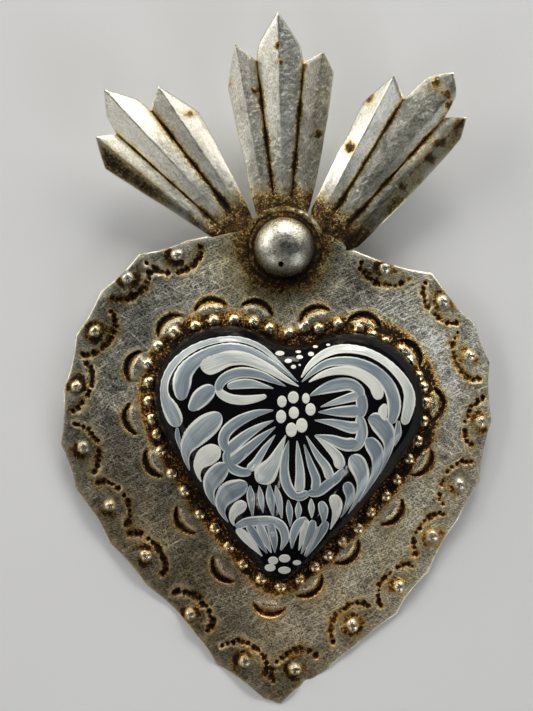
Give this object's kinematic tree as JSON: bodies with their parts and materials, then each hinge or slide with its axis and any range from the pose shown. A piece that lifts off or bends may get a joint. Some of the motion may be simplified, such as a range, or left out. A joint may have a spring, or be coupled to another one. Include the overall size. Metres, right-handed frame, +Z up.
{
  "type": "tin heart wall ornament",
  "caption": "Pressed-tin heart wall ornament with pleated flame plumes, a half-ball boss and a puffed painted heart, hung by a nail hole in a strap behind it.",
  "frame": {"origin": "centre of the nail hole, on the wall side of the hanger strap", "axes": "+Z up as it hangs, +Y into the wall (the front faces -Y), +X to the viewer's right"},
  "size_m": [0.1314, 0.0186, 0.2042],
  "materials": {
    "tin_plate": "antiqued satin tinplate",
    "tin_flame": "antiqued satin tinplate",
    "tin_dome": "polished tinplate",
    "tin_strap": "plain tinplate",
    "solder": "dull, darkened",
    "painted_wood": "black gloss lacquer with hand-painted strokes",
    "glue": "dull"
  },
  "bodies": {
    "root": {"heart_plate": "tin_plate", "left_flame": "tin_flame", "centre_flame": "tin_flame", "right_flame": "tin_flame", "dome_boss": "tin_dome", "dome_solder": "solder", "painted_heart": "painted_wood", "heart_glue_bed": "glue", "hanger_strap": "tin_strap", "flame_solder": "solder", "hanger_solder": "solder"}
  },
  "joints": []
}
